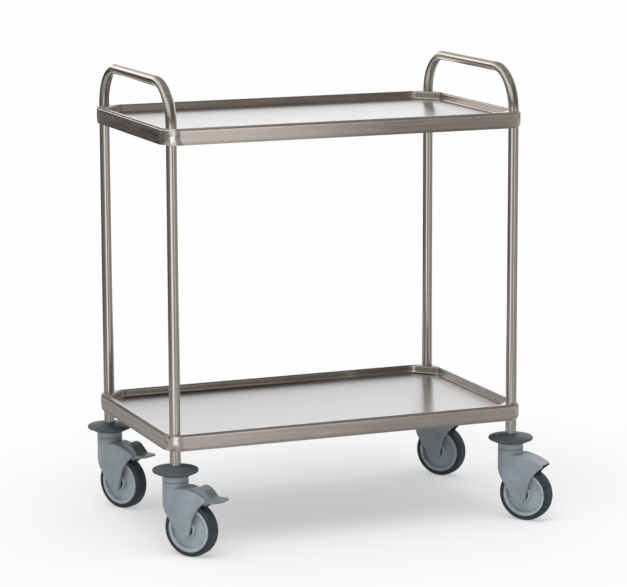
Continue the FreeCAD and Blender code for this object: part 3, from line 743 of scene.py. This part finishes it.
def make_floor():
    # matt and pale; part of what is seen of it is plain white, as on an overlit sweep
    bpy.ops.mesh.primitive_plane_add(size=2 * floor_reach)
    floor = bpy.context.object
    floor.name = "floor"
    material, graph, shader = new_material("floor")
    finish(graph, shader, floor_colour, floor_roughness, specular=0.0)
    glow = graph.add("ShaderNodeEmission")
    glow.inputs["Color"].default_value = opaque(WHITE)
    share = graph.times(seen_directly(graph), floor_glow_share)
    graph.show_mixed(share, shader.outputs[0], glow.outputs[0])
    floor.data.materials.append(material)


def make_lamp():
    data = bpy.data.lights.new("key", "SUN")
    data.energy = lamp_strength
    data.angle = math.radians(lamp_angle)
    lamp = bpy.data.objects.new("key", data)
    lamp.rotation_euler = [math.radians(part) for part in lamp_turn]
    # gloss sees the surround instead
    lamp.visible_glossy = False
    bpy.context.scene.collection.objects.link(lamp)


def ramp(graph, factor, stops):
    # the shades of one level, once round from -180 to 180 degrees
    made = graph.add("ShaderNodeValToRGB")
    graph.put(made.inputs[0], factor)
    elements = made.color_ramp.elements
    stops = stops + [(180, stops[0][1])]
    while len(elements) < len(stops):
        elements.new(0.5)
    for element, (degrees, value) in zip(elements, stops):
        element.position = (degrees + 180) / 360
        element.color = opaque(scaled(beige if value < 1.0 else WHITE, value))
    return made.outputs[0]


def direction(graph, x, y):
    # the way from the middle, as a share of the full turn
    return graph.fit(graph.math("ARCTAN2", x, y), -math.pi, math.pi)


def glow_material(name):
    return new_material(name, "ShaderNodeEmission")


def seen_by_gloss_alone(piece, material):
    piece.data.materials.append(material)
    piece.visible_camera = False
    piece.visible_diffuse = False
    piece.visible_shadow = False
    piece.visible_transmission = False


def make_surround():
    place = (0, 0, surround_height)
    rings = surround_segments // 2
    bpy.ops.mesh.primitive_uv_sphere_add(
        radius=surround_radius, segments=surround_segments, ring_count=rings, location=place)
    surround = bpy.context.object
    surround.name = "surround"
    material, graph, emission = glow_material("surround")
    x, y, z = graph.split(graph.vector("NORMALIZE", graph.place()))
    turn = direction(graph, x, y)
    below, stops = surround_levels[0]
    shade = ramp(graph, turn, stops)
    for height, stops in surround_levels[1:]:
        shade = graph.mix(graph.fit(z, below, height, smooth=True), shade, ramp(graph, turn, stops))
        below = height
    graph.put(emission.inputs["Color"], shade)
    seen_by_gloss_alone(surround, material)


def make_carpet():
    # what metal sees of the floor: plain near the trolley, then the surround's foot
    place = (0, 0, carpet_height)
    bpy.ops.mesh.primitive_circle_add(
        vertices=surround_segments, radius=surround_radius, fill_type="NGON", location=place)
    carpet = bpy.context.object
    carpet.name = "carpet"
    material, graph, emission = glow_material("carpet")
    place = graph.place()
    x, y = graph.split(place)[:2]
    far = graph.fit(graph.vector("LENGTH", place), carpet_near, carpet_far, smooth=True)
    foot = ramp(graph, direction(graph, x, y), surround_levels[0][1])
    near = carpet_shade
    for middle, reach, extra in carpet_glows:
        off_middle = graph.vector("LENGTH", graph.vector("SUBTRACT", place, middle))
        near = graph.plus(near, graph.fit(off_middle, 0.0, reach, extra, 0.0, smooth=True))
    graph.put(emission.inputs["Color"], graph.mix(far, graph.join(near, near, near), foot))
    seen_by_gloss_alone(carpet, material)


def make_flags():
    for middle, width, length, tilt in flags:
        bpy.ops.mesh.primitive_plane_add(size=1, location=middle, rotation=(math.radians(tilt), 0, 0))
        flag = bpy.context.object
        flag.name = "flag"
        flag.scale = (width, length, 1)
        material, _, emission = glow_material("flag")
        emission.inputs["Strength"].default_value = flag_shade
        seen_by_gloss_alone(flag, material)


def make_strip():
    # bright in the middle and gone at its sides and top
    turn = math.radians(strip_direction)
    middle = strip_height / 2 + carpet_height
    place = (strip_distance * math.sin(turn), strip_distance * math.cos(turn), middle)
    bpy.ops.mesh.primitive_plane_add(size=1, location=place, rotation=(math.pi / 2, 0, math.pi - turn))
    strip = bpy.context.object
    strip.name = "strip"
    strip.scale = (strip_width, strip_height, 1)
    material, graph, emission = glow_material("strip")
    x, y = graph.split(graph.place())[:2]
    inside = graph.fit(graph.size(x), *strip_side_fade, 1.0, 0.0, smooth=True)
    inside = graph.times(inside, graph.fit(y, *strip_top_fade, 1.0, 0.0, smooth=True))
    emission.inputs["Strength"].default_value = strip_brightness
    clear = graph.add("ShaderNodeBsdfTransparent")
    graph.show_mixed(inside, clear.outputs[0], emission.outputs[0])
    seen_by_gloss_alone(strip, material)


def make_camera():
    yaw, pitch, roll = [math.radians(a) for a in (camera_yaw, camera_pitch, camera_roll)]
    level_share = math.cos(pitch)
    forward = Vector((math.sin(yaw) * level_share, math.cos(yaw) * level_share, -math.sin(pitch)))
    level = Vector((math.cos(yaw), -math.sin(yaw), 0.0))
    rise = level.cross(forward)
    place = camera_aim - forward * camera_distance - level * camera_across - rise * camera_up
    right = level * math.cos(roll) + rise * math.sin(roll)
    up = rise * math.cos(roll) - level * math.sin(roll)
    data = bpy.data.cameras.new("camera")
    data.sensor_width = sensor_width
    data.lens = focal_pixels * sensor_width / picture_width
    data.clip_end = camera_reach
    camera = bpy.data.objects.new("camera", data)
    camera.matrix_world = Matrix((right, up, -forward)).transposed().to_4x4()
    camera.location = place
    bpy.context.scene.collection.objects.link(camera)
    bpy.context.scene.camera = camera


paint_frame()
paint_castors()
make_world()
make_floor()
make_lamp()
make_surround()
make_carpet()
make_flags()
make_strip()
make_camera()
bpy.context.scene.view_settings.view_transform = "Standard"
